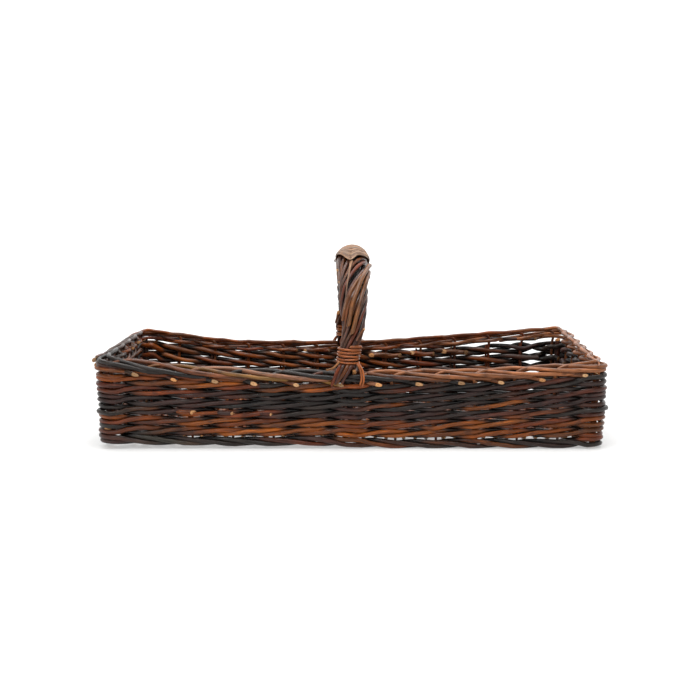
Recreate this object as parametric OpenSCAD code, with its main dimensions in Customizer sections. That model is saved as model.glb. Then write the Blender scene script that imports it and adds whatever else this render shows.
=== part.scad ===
// Flower trug: a long, shallow, rectangular willow basket with a roped bow handle
// that stands over the middle and runs from the front wall to the back wall.
// Frame: origin on the ground under the middle of the basket, +X to the right
// along the basket, +Y to the back, +Z up. All sizes in millimetres.

/* [Body] */
// Half of the length of the line the stakes stand on
half_len = 289; // [260:1:320]
// Half of the depth of the line the stakes stand on
half_dep = 140; // [126:1:155]
// Radius of the corners on the stake line
corner_r = 14; // [13:0.5:18]
// How much a wall leans out for each millimetre of height
flare = 0.045; // [0:0.005:0.08]

/* [Base] */
// Height of the middle of the base sticks above the ground
base_z = 16.2; // [16:0.1:20]
// Diameter of the two edge sticks
edge_stick_d = 9; // [8:0.5:9]
// Diameter of the inner base sticks
base_stick_d = 8; // [7:0.5:8.5]
// Diameter of a base weaver
base_weaver_d = 4.4; // [3.5:0.1:4.6]

/* [Walls] */
// Diameter of a stake
stake_d = 3.6; // [3:0.1:3.6]
// Diameter of a bye-stake
bye_d = 3; // [2.6:0.1:3]
// Diameter of a corner post
post_d = 8; // [7:0.5:8]
// Diameter of a rod of the side waling
weaver_d = 4.4; // [3.6:0.1:4.4]
// Number of rows of side waling, three rods in each
rows = 6; // [6:1:6]
// Height of one row in the middle of a long wall
row_h = 9.4; // [9.4:0.02:9.8]
// Extra height of the rows at the corners, as a share of their height
corner_rise = 0.16; // [0:0.02:0.2]
// Height of one rod of the foot wale
wale_h = 3.75; // [3:0.05:3.75]

/* [Handle] */
// Radius of the bow, from its centre to the middle of its rod
bow_r = 140; // [126:1:155]
// Height of the centre of the bow above the ground
bow_z = 70.4; // [70:0.2:74]
// Diameter of the bow's rod
bow_d = 18.2; // [14:0.2:18.4]
// Number of rods roped round the bow
rope_n = 13; // [9:1:13]
// Diameter of a roping rod
rope_d = 5.5; // [4:0.1:5.6]
// Degrees the roping turns for each degree of the bow
rope_twist = 4; // [2:0.5:5]
// Half of the angle of the bow that the grip covers
grip_half = 33; // [20:1:40]
// Outer diameter of the grip wrapping
grip_d = 41; // [36:1:42]
// Turns of a tie round the foot of the handle
tie_turns = 5; // [3:1:5]
// Diameter of the rod of a tie
tie_d = 2.8; // [2:0.1:2.9]

/* [Hidden] */
n_stakes = 36;                 // stakes round the basket: 12 spaces long, 6 spaces deep
weave_z = base_z + 2;          // underside of the first row of side waling
arc_h = PI / 4 * corner_r;     // half the length of a corner arc
stick_y = [for (i = [-2 : 2]) i * 42.3];
edge_y = 127;
wr = weaver_d / 2;
bark_dark = "#3a2c24"; bark_brown = "#7a4a28"; bark_warm = "#8c5a30";
bark_green = "#4a4a38"; bark_tan = "#a98a5c"; pale_skein = "#b8a888";

// ---- the line of the walls: u counts stakes from the front left corner,
// n is the distance outward, z is the height -------------------------------
function wall_a(w) = (w % 2 == 0) ? half_len : half_dep;
function wall_b(w) = (w % 2 == 0) ? half_dep : half_len;
function wall_of(u) = let (v = u - 36 * floor(u / 36)) v < 12 ? 0 : v < 18 ? 1 : v < 30 ? 2 : 3;
function wall_u0(w) = [0, 12, 18, 30][w];
function wall_nu(w) = [12, 6, 12, 6][w];
// distance along the wall, then local x, y and the angle of the outward normal
function run(w) = 2 * wall_a(w) - 2 * corner_r + 2 * arc_h;
function loc(w, d, n) =
  let (a = wall_a(w) - corner_r, b = wall_b(w) - corner_r)
  d < arc_h ? let (g = 225 + 45 * d / arc_h) [-a + (corner_r + n) * cos(g), -b + (corner_r + n) * sin(g)]
  : d > run(w) - arc_h ? let (g = 270 + 45 * (d - run(w) + arc_h) / arc_h) [a + (corner_r + n) * cos(g), -b + (corner_r + n) * sin(g)]
  : [-a + d - arc_h, -b - corner_r - n];
function turn(p, w) = w == 0 ? p : w == 1 ? [-p[1], p[0]] : w == 2 ? [-p[0], -p[1]] : [p[1], -p[0]];
function at(u, n, z) =
  let (v = u - 36 * floor(u / 36), w = wall_of(u),
       q = turn(loc(w, (v - wall_u0(w)) / wall_nu(w) * run(w), n + flare * (z - 40)), w))
  [q[0], q[1], z];
// 0 in the middle of a long wall, 1 at the corners and along the short walls
function lift(u) = let (p = at(u, 0, 40)) min(1, pow(p[0] / (half_len - 4), 2));
function weave_top(u) = weave_z + rows * row_h * (1 + corner_rise * lift(u));
function is_corner(k) = let (v = k - 36 * floor(k / 36)) v == 0 || v == 12 || v == 18 || v == 30;
function is_bow(k) = let (v = k - 36 * floor(k / 36)) v == 6 || v == 24;
// radius of the foot of the bow at a height
function bow_foot_r(z) = 2.6 + 2.2 * min(1, max(0, (z - 22) / 44));
// how far from the stake line a side weaver passes at stake k
function pass(k, z) = is_corner(k) ? post_d / 2 + wr + 0.55
  : is_bow(k) ? max(3.7, bow_foot_r(z) + wr + 0.25) : stake_d / 2 + wr + 0.55;

// ---- rods: a rod is [points, radii, sides]; all rods of a node are one list ----
function unit(v) = v / norm(v);
function tang(p, i) = unit(p[min(i + 1, len(p) - 1)] - p[max(i - 1, 0)]);
function perp(t) = abs(t[2]) < 0.8 ? unit(cross(t, [0, 0, 1])) : unit(cross(t, [1, 0, 0]));
function frames(p) = [for (i = 0, t = tang(p, 0), r = perp(t); i < len(p);
  i = i + 1, t = tang(p, min(i, len(p) - 1)), r = unit(r - t * (r * t))) [r, cross(t, r)]];
function rod_points(rd) = let (p = rd[0], f = frames(p), s = rd[2])
  [for (i = [0 : len(p) - 1], j = [0 : s - 1])
    p[i] + rd[1][i] * (cos(360 * j / s) * f[i][0] + sin(360 * j / s) * f[i][1])];
function rod_faces(rd, o) = let (m = len(rd[0]), s = rd[2]) concat(
  [[for (j = [0 : s - 1]) o + j]], [[for (j = [s - 1 : -1 : 0]) o + (m - 1) * s + j]],
  [for (i = [0 : m - 2], j = [0 : s - 1]) let (k = (j + 1) % s)
    [o + i * s + j, o + (i + 1) * s + j, o + (i + 1) * s + k, o + i * s + k]]);
function starts(l) = [for (i = 0, o = 0; i < len(l); o = o + len(l[i][0]) * l[i][2], i = i + 1) o];
module rods(l) {
  o = starts(l);
  polyhedron(points = [for (r = l) each rod_points(r)],
    faces = [for (i = [0 : len(l) - 1]) each rod_faces(l[i], o[i])], convexity = 12);
}
function even(p, r) = [for (x = p) r];

// ---- base ----------------------------------------------------------------
module lengthwise(y, d, l) translate([-l, y, base_z]) rotate([0, 90, 0]) cylinder(d = d, h = 2 * l, $fn = 40);
// an edge stick is bored for the foot of each stake of its wall
module edge_stick(s) color(bark_brown) difference() {
  lengthwise(s * edge_y, edge_stick_d, 272);
  for (k = [1 : 11]) if (k != 6) translate([(k - 6) * run(0) / 12, s * (edge_y - 8), base_z])
    rotate([-90 * s, 0, 0]) cylinder(d = stake_d + 0.3, h = 16, $fn = 24);
}
module base_edge_stick_front() edge_stick(-1);
module base_edge_stick_back() edge_stick(1);
module base_inner_sticks() color(bark_brown) for (y = stick_y) lengthwise(y, base_stick_d, 272);
// base weavers lie front to back, six between each two stakes
weaver_x = [for (k = [0 : 11], i = [1 : 6]) let (x = (k - 6 + i / 7) * run(0) / 12) if (abs(x) < 266) x];
function base_wave(s) = let (h = base_stick_d / 2 + base_weaver_d / 2 + 0.5, y = concat([-edge_y], stick_y, [edge_y]))
  concat([[-edge_y - 4.8, s * 5.2], [-edge_y - 4, s * 6.4]], [for (i = [0 : 6]) [y[i], s * (i % 2 == 0 ? 1 : -1) * (h + (i == 0 || i == 6 ? 0.5 : 0))]], [[edge_y + 4, s * 6.4], [edge_y + 4.8, s * 5.2]]);
module base_weavers(par) {
  w = base_wave(par == 0 ? 1 : -1);
  t = base_weaver_d / 2 * 1.05;
  outline = concat([for (q = w) [q[0], q[1] + t]], [for (i = [len(w) - 1 : -1 : 0]) [w[i][0], w[i][1] - t]]);
  for (i = [0 : len(weaver_x) - 1]) if (i % 2 == par) translate([weaver_x[i] - base_weaver_d / 2, 0, base_z])
    rotate([90, 0, 90]) linear_extrude(height = base_weaver_d) polygon(outline);
}
module base_weavers_over() color(bark_warm) base_weavers(0);
module base_weavers_under() color(bark_brown) base_weavers(1);

// ---- foot wale: three rods, each in front of two stakes and behind one ----
wale_w = 3.7;
function wale_n(k, r) = let (m = (k + r + 36) % 3 == 0 ? -1 : 1)
  m * (is_corner(k) ? post_d / 2 + wale_w / 2 + 0.3 : bye_d / 2 + wale_w / 2 + 0.3);
function wale_line(r) = concat([[3 + 3 * r + 0.5, wale_n(3 + 3 * r, r) * -0.2]], [for (k = [4 + 3 * r : 39 + 3 * r]) each let (n = wale_n(k, r), c = is_corner(k))
  c ? [[k - 0.22, n], [k, n], [k + 0.22, n]] : is_bow(k) ? [[k - 0.36, n], [k + 0.02, n]] : [[k - 0.12, n], [k + 0.22, n]]], [[39 + 3 * r + 0.47, wale_n(3 + 3 * r, r) * -0.2]]);
module wale(r) {
  l = wale_line(r); z = (r + 0.5) * wale_h;
  outer = [for (q = l) let (p = at(q[0], q[1] + wale_w / 2, z)) [p[0], p[1]]];
  inner = [for (q = l) let (p = at(q[0], q[1] - wale_w / 2, z)) [p[0], p[1]]];
  translate([0, 0, r * (wale_h + 0.05)]) linear_extrude(height = wale_h)
    polygon(concat(outer, [for (i = [len(inner) - 1 : -1 : 0]) inner[i]]));
}
module foot_wale_rod_1() color(bark_green) wale(0);
module foot_wale_rod_2() color(bark_brown) wale(1);
module foot_wale_rod_3() color(bark_dark) wale(2);

// ---- corner posts -----------------------------------------------------------
module post(k) { z1 = weave_top(k) - 0.4;
  p = [at(k, 0, 0.6), at(k, 0, z1)]; rods([[p, even(p, post_d / 2), 12]]); }
module corner_post_front_left() color(bark_dark) post(0);
module corner_post_front_right() color(bark_brown) post(12);
module corner_post_back_right() color(bark_brown) post(18);
module corner_post_back_left() color(bark_dark) post(30);

// ---- stakes: foot in the base, up the wall, then along the border ----------
// [stake spaces along, out, up] of the border above the weaving, for a rod of 3
border_line = [[0, 0, 6.5], [0.12, -0.2, 8.9], [0.5, -1.6, 9.6], [0.75, -3.4, 8.6], [1, -4.5, 6.6],
  [1.25, -2.8, 4.8], [1.5, 0, 2.9], [2, 4.7, 3.0], [2.5, 5.1, 4.9], [3, 4.9, 6.8], [3.25, 3.6, 7.2],
  [3.5, 1.2, 6.3], [4, -4.5, 3.2], [4.25, -1.2, 2.2], [4.4, 1.6, 2.0], [4.52, 4.2, 1.4], [4.66, 6.5, -0.1]];
border_k = stake_d / 2.8;
border_v = border_k * 1.24;
function side_shift(k) = is_corner(k) ? 0.14 : is_bow(k) ? 0.2 : 0;
// the border swells where it goes round the foot of the bow
function swell(u, n) = let (d = min(abs(u - 6), abs(u - 24), abs(u - 42)))
  n == 0 ? 0 : sign(n) * 2.7 * max(0, 1 - d / 0.5) * min(1, abs(n) / 3);
function border_part(k) = [for (q = border_line) let (u = k + q[0] + (q[0] < 0.3 ? side_shift(k) : 0), n = q[1] * border_k)
  at(u, n + swell(u, n), weave_top(u) + q[2] * border_v)];
function foot_part(k) = let (v = k % 36, end_wall = (v > 12 && v < 18) || v > 30,
    m = end_wall ? (v > 30 ? v - 33 : v - 15) : 0,
    du = m == 0 ? -0.14 : abs(m) == 1 ? m * 0.065 : 0)
  is_corner(k) || is_bow(k) ? [at(k + side_shift(k), 0, 21)]
  : end_wall ? [at(k + du, -46, base_z), at(k + du, -12, base_z), at(k + du * 0.3, -2.6, base_z + 0.3), at(k, -0.2, base_z + 4)]
  : [at(k, -16, base_z), at(k, -3, base_z), at(k, -0.4, base_z + 3)];
function stake(k) = let (p = concat(foot_part(k), border_part(k)), m = len(p), r = stake_d / 2)
  [p, [for (i = [0 : m - 1]) i < m - 3 ? r : r * (i == m - 1 ? 0.86 : 0.93)], 4];
module stakes(k0, k1) rods([for (k = [k0 : k1]) stake(k)]);
module stakes_and_border_front() color(bark_tan) stakes(0, 11);
module stakes_and_border_right() color(bark_warm) stakes(12, 17);
module stakes_and_border_back() color(bark_brown) stakes(18, 29);
module stakes_and_border_left() color(bark_green) stakes(30, 35);

// ---- bye-stakes: one beside each stake, from the foot to the border --------
function bye_u(k) = k + (is_bow(k) ? -0.2 : 0.075);
function bye(k) = let (u = bye_u(k), p = [at(u, 0, 1), at(u, 0, weave_top(k) - 0.8)]) [p, even(p, bye_d / 2), 6];
module bye_stakes(k0, k1) rods([for (k = [k0 : k1]) if (!is_corner(k)) bye(k)]);
module bye_stakes_front() color(bark_brown) bye_stakes(1, 11);
module bye_stakes_right() color(bark_brown) bye_stakes(13, 17);
module bye_stakes_back() color(bark_brown) bye_stakes(19, 29);
module bye_stakes_left() color(bark_brown) bye_stakes(31, 35);

// ---- side weaving: rows of waling. Three rods work together: each passes in front
// of two stakes, rising a little, and then behind one --------------------------
function strand(u, n, v, j) = at(u, n, weave_z + (j - 1 + v) * row_h * (1 + corner_rise * lift(u)));
// the places of one strand at stake k: m is 0 where it is inside, 1 and 2 outside
function strand_at(k, m, j) = let (n = (m == 0 ? -1 : 1) * pass(k, weave_z + (j - 0.5) * row_h), v = [0.5, 0.25, 0.75][m])
  is_corner(k) ? [for (e = [-0.22, 0, 0.22]) strand(k + e, n, v, j)]
  : is_bow(k) ? [for (e = [-0.24, 0.24]) strand(k + e, n, v, j)] : [strand(k + 0.04, n, v, j)];
function strand_mid(k, m, j) = let (q = 0.55 * (stake_d / 2 + wr + 0.55))
  m == 0 ? [strand(k + 0.4, -q, 0.26, j)] : m == 2 ? [strand(k + 0.6, -q, 0.74, j)] : [];
function row_start(j, r) = let (q = (300 - r - j) % 3) q == 0 ? 3 + 6 * (j % 3) : q + 3 * ((2 * j + r) % 5);
function strand_line(j, r, k0) = concat(
  [strand(k0 - 0.1, -pass(k0, 40), 0.5, j)],
  [for (k = [k0 : k0 + 17]) let (m = (k + r + j) % 3) each concat(strand_at(k, m, j), strand_mid(k, m, j))],
  [strand(k0 + 18 - 0.16, -pass(k0, 40), 0.5, j)]);
module weave_row(j) rods([for (r = [0 : 2], h = [0, 1]) let (p = strand_line(j, r, row_start(j, r) + 18 * h))
  [p, even(p, wr), 4]]);
module side_wale_row_1() color(bark_warm) weave_row(1);
module side_wale_row_2() color(bark_brown) weave_row(2);
module side_wale_row_3() color(bark_dark) weave_row(3);
module side_wale_row_4() color(bark_green) weave_row(4);
module side_wale_row_5() color(bark_dark) weave_row(5);
module side_wale_row_6() color(bark_brown) weave_row(6);

// ---- handle -------------------------------------------------------------------
// a point round the bow: g is the angle from the crest, q the distance, f the turn
function on_bow(g, q, f) = [q * sin(f), (bow_r + q * cos(f)) * sin(g), bow_z + (bow_r + q * cos(f)) * cos(g)];
wall_y = function (z) half_dep + flare * (z - 40);
function bow_leg(s) = [for (z = [91, 66, 44, 22]) [0, s * wall_y(z), z]];
bow_leg_r = [4.8, 4.8, 3.7, 2.6];
function flip(l) = [for (i = [len(l) - 1 : -1 : 0]) l[i]];
module handle_bow() color(bark_brown) rods([[
  concat(flip(bow_leg(-1)), [for (g = [-76 : 8 : 76]) on_bow(g, 0, 0)], bow_leg(1)),
  concat(flip(bow_leg_r), [for (g = [-76 : 8 : 76]) bow_d / 2], bow_leg_r), 10]]);
rope_q = bow_d / 2 + rope_d / 2 + 0.95;
function wrap180(f) = f - 360 * floor((f + 180) / 360);
// below the ties the outer rods fan out over the border and tuck under it
function fan(x) = [[x - 3, -152.6, 92.5], [x - 6, -155.6, 85.5], [x - 9, -155.4, 76], [x - 11, -153, 67]];
fan_r = [rope_d * 0.42, rope_d * 0.36, 1.7, 1.5];
function rope(i) = let (f0 = i * 360 / rope_n, ff = wrap180(f0 - 80 * rope_twist), fb = wrap180(f0 + 80 * rope_twist),
    mid = [for (g = [-80 : 10 : 80]) on_bow(g, rope_q, f0 + g * rope_twist)],
    a = abs(ff) < 50 ? flip(fan(rope_q * sin(ff))) : [],
    b = abs(fb) < 50 ? [for (q = fan(-rope_q * sin(fb))) [-q[0], -q[1], q[2]]] : [])
  [concat(a, mid, b), concat(len(a) > 0 ? flip(fan_r) : [], even(mid, rope_d / 2), len(b) > 0 ? fan_r : []), 5];
module handle_roping_rods() color(bark_warm) rods([for (i = [0 : rope_n - 1]) rope(i)]);
module handle_grip_wrap() color(pale_skein) translate([0, 0, bow_z]) rotate([0, -90, 0]) rotate([0, 0, -grip_half])
  rotate_extrude(angle = 2 * grip_half, $fn = 96) translate([bow_r, 0]) difference() {
    circle(d = grip_d, $fn = 48); circle(r = rope_q + rope_d / 2 + 0.25, $fn = 48); }
// a tie is one thin rod: turns round the foot of the handle, then a tail over the border
tie_q = rope_q + rope_d / 2 + tie_d / 2 + 0.5;
function tie_line() = concat([for (i = [0 : tie_turns * 9 + 2]) let (f = i * 40) on_bow(-72.3 - 7.6 * i / (tie_turns * 9 + 2), tie_q, f)],
  [[19.5, -144, 94.5], [21, -151.5, 91], [21.5, -155, 84], [22, -154.6, 75], [22.5, -152, 66]]);
module tie() { p = tie_line(); rods([[p, even(p, tie_d / 2), 4]]); }
module handle_tie_front() color(bark_tan) tie();
module handle_tie_back() color(bark_tan) rotate([0, 0, 180]) tie();

base_edge_stick_front();
base_edge_stick_back();
base_inner_sticks();
base_weavers_over();
base_weavers_under();
foot_wale_rod_1();
foot_wale_rod_2();
foot_wale_rod_3();
corner_post_front_left();
corner_post_front_right();
corner_post_back_right();
corner_post_back_left();
stakes_and_border_front();
stakes_and_border_right();
stakes_and_border_back();
stakes_and_border_left();
bye_stakes_front();
bye_stakes_right();
bye_stakes_back();
bye_stakes_left();
side_wale_row_1();
side_wale_row_2();
side_wale_row_3();
side_wale_row_4();
side_wale_row_5();
side_wale_row_6();
handle_bow();
handle_roping_rods();
handle_grip_wrap();
handle_tie_front();
handle_tie_back();
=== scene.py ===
import bpy, math
import numpy as np
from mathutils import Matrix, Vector


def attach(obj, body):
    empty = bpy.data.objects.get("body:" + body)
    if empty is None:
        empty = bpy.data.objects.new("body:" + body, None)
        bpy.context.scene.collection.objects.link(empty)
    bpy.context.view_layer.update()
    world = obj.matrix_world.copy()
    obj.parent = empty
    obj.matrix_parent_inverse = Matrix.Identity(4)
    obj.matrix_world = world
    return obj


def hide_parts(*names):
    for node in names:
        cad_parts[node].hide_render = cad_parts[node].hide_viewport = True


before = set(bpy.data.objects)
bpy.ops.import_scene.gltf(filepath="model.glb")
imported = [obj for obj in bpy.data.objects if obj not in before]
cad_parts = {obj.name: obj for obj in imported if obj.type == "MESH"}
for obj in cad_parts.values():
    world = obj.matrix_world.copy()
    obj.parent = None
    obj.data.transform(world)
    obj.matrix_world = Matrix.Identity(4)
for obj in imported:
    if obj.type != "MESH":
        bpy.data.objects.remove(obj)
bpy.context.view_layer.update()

TAU = 2 * math.pi
rng_of = lambda *k: np.random.default_rng([7919] + [abs(int(q)) for q in k])

# =====================================================================================
# camera: the photograph's place, height and lens
# =====================================================================================
cam_data = bpy.data.cameras.new("camera")
cam_data.lens = 63.8
cam_data.sensor_width = 36.0
cam_data.clip_start = 0.05
cam = bpy.data.objects.new("camera", cam_data)
cam.location = (-0.002, -1.576, 0.2885)
cam.rotation_euler = (math.radians(90 - 6.85), 0, 0)
bpy.context.scene.collection.objects.link(cam)
bpy.context.scene.camera = cam

# =====================================================================================
# the line of the walls, in millimetres: u counts stakes from the front left corner,
# n is the distance outward and z the height. The same numbers as in the CAD model.
# =====================================================================================
HALF_LEN, HALF_DEP, CORNER_R, FLARE = 289.0, 140.0, 14.0, 0.045
ARC = math.pi / 4 * CORNER_R
UNIT_LONG = (2 * (HALF_LEN - CORNER_R) + 2 * ARC) / 12
BASE_Z = 16.2
ROWS = 6
WEAVE_Z, ROW_H, RISE = 12.4, 10.37, 0.145


def at(u, n, z):
    """Wall coordinates (arrays or numbers) to x, y, z in mm."""
    u, n, z = np.broadcast_arrays(np.asarray(u, float), np.asarray(n, float), np.asarray(z, float))
    v = np.mod(u, 36.0)
    w = (v >= 12).astype(int) + (v >= 18).astype(int) + (v >= 30).astype(int)
    long = w % 2 == 0
    a = np.where(long, HALF_LEN, HALF_DEP) - CORNER_R
    b = np.where(long, HALF_DEP, HALF_LEN) - CORNER_R
    u0 = np.array([0, 12, 18, 30])[w]
    nu = np.array([12, 6, 12, 6])[w]
    run = 2 * a + 2 * ARC
    d = (v - u0) / nu * run
    r = CORNER_R + n + FLARE * (z - 40)
    g1 = np.radians(225 + 45 * d / ARC)
    g2 = np.radians(270 + 45 * (d - run + ARC) / ARC)
    lo, hi = d < ARC, d > run - ARC
    x = np.where(lo, -a + r * np.cos(g1), np.where(hi, a + r * np.cos(g2), -a + d - ARC))
    y = np.where(lo, -b + r * np.sin(g1), np.where(hi, -b + r * np.sin(g2), -b - r))
    X = np.where(w == 0, x, np.where(w == 1, -y, np.where(w == 2, -x, y)))
    Y = np.where(w == 0, y, np.where(w == 1, x, np.where(w == 2, -y, -x)))
    return np.stack([X, Y, z], axis=-1)


# how high each corner stands, as a share of the CAD model's corner rise
CORNER_W = {"fl": 1.02, "fr": 0.84, "br": 1.30, "bl": 1.08}


def lift(u):
    p = at(u, 0.0, 40.0)
    x, y = p[..., 0], p[..., 1]
    s = np.clip((x / HALF_LEN + 1) / 2, 0, 1)
    t = np.clip((y / HALF_DEP + 1) / 2, 0, 1)
    w = (CORNER_W["fl"] * (1 - s) * (1 - t) + CORNER_W["fr"] * s * (1 - t)
         + CORNER_W["bl"] * (1 - s) * t + CORNER_W["br"] * s * t)
    return w * np.minimum(1.0, (x / (HALF_LEN - 4)) ** 2)


# how much higher the rim stands than the CAD model's, in mm, round the basket
RIM_U = [0, 1, 2, 4, 8, 10, 12, 14, 17, 18, 19, 20, 21, 22, 23.3, 25, 27, 28, 29, 30, 31, 33, 35, 36]
RIM_MM = [8.5, 5.5, 3, 1.8, 1.8, 2.5, 5, 8, 11, 13, 13, 12.5, 11.5, 9.5, 6.5, 5.0, 3.5, 5, 9, 12, 11.5, 10.5, 10, 8.5]


def rim_extra(u):
    return np.interp(np.mod(np.asarray(u, float), 36.0), RIM_U, RIM_MM)


def border_share(u):
    """How much of that is a gap under the border instead of looser weaving."""
    return np.interp(np.mod(np.asarray(u, float), 36.0), [0, 2, 16, 18, 22, 23.5, 27, 30, 33, 36],
                     [0.16, 0.06, 0.10, 0.30, 0.30, 0.12, 0.05, 0.10, 0.08, 0.16])


def foot_rise(u):
    """The foot doesn't touch the ground quite everywhere: the left half stands a little proud."""
    v = np.mod(np.asarray(u, float), 36.0)
    x = at(u, 0.0, 40.0)[..., 0]
    v = np.where(v > 33, v - 36, v)
    left = np.clip((60 - x) / 140, 0, 1)
    return (2.9 * left * left * (3 - 2 * left) + 2.0 * np.exp(-(v / 1.5) ** 2) + 1.2 * np.exp(-((v - 12) / 1.2) ** 2)
            + 0.8 * np.exp(-((v - 5.4) / 0.9) ** 2))


def row_z(u, level):
    """Height of the side weaving: level 0 is under the first row, ROWS over the last."""
    return WEAVE_Z + foot_rise(u) * (1 - level / 7.0) + level * ROW_H * (1 + RISE * lift(u)) + (1.06 - border_share(u)) * rim_extra(u) * (level / 6.0) ** 1.5


def weave_top(u):
    return row_z(u, float(ROWS))


def is_corner(k):
    return k % 36 in (0, 12, 18, 30)


def is_bow(k):
    return k % 36 in (6, 24)


# =====================================================================================
# curves and rods
# =====================================================================================
def smooth(ctrl, step=3.0, scale=None):
    """A smooth curve through control points of any number of columns. Length is measured
    over the first three, multiplied by scale."""
    c = np.asarray(ctrl, float)
    m = c[:, :3] * (np.ones(3) if scale is None else np.asarray(scale, float))
    seg = np.maximum(np.linalg.norm(np.diff(m, axis=0), axis=1), 1e-6)
    s = np.concatenate([[0], np.cumsum(seg)])
    h = seg[:, None]
    d = np.diff(c, axis=0) / h
    t = np.empty_like(c)
    t[1:-1] = (d[:-1] * h[1:] + d[1:] * h[:-1]) / (h[:-1] + h[1:])
    t[0] = d[0] if len(c) < 3 else 1.5 * d[0] - 0.5 * t[1]
    t[-1] = d[-1] if len(c) < 3 else 1.5 * d[-1] - 0.5 * t[-2]
    num = max(3, int(round(s[-1] / step)) + 1)
    q = np.linspace(0, s[-1], num)
    i = np.clip(np.searchsorted(s, q, side="right") - 1, 0, len(seg) - 1)
    x = ((q - s[i]) / seg[i])[:, None]
    hh = seg[i][:, None]
    return ((2 * x ** 3 - 3 * x ** 2 + 1) * c[i] + (x ** 3 - 2 * x ** 2 + x) * hh * t[i]
            + (-2 * x ** 3 + 3 * x ** 2) * c[i + 1] + (x ** 3 - x ** 2) * hh * t[i + 1])


def wander(s, seed, wave=60.0, comps=3):
    """Smooth noise along a length in mm, about -1 to 1, three columns."""
    r = rng_of(seed, 5)
    out = np.zeros((len(s), 3))
    for c in range(comps):
        f = TAU / (wave * r.uniform(0.6, 1.7) / (1 + 0.6 * c))
        out += np.sin(np.outer(s, np.full(3, f)) + r.uniform(0, TAU, 3)) / (1 + 0.7 * c)
    return out / 1.6


def frames_along(p):
    """Unit tangents and two normals that don't twist."""
    t = np.gradient(p, axis=0)
    t /= np.maximum(np.linalg.norm(t, axis=1, keepdims=True), 1e-9)
    a = np.empty_like(p)
    ref = np.array([0, 0, 1.0]) if abs(t[0][2]) < 0.8 else np.array([1.0, 0, 0])
    n = np.cross(t[0], ref)
    n /= np.linalg.norm(n)
    a[0] = n
    for i in range(1, len(p)):
        n = n - t[i] * np.dot(n, t[i])
        n /= max(np.linalg.norm(n), 1e-9)
        a[i] = n
    return t, a, np.cross(t, a)


def lin(rgb):
    c = np.asarray(rgb, float) / 255.0
    return np.where(c <= 0.04045, c / 12.92, ((c + 0.055) / 1.055) ** 2.4)


DARKEN = 0.47      # bark is darker than it looks under the studio light


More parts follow.
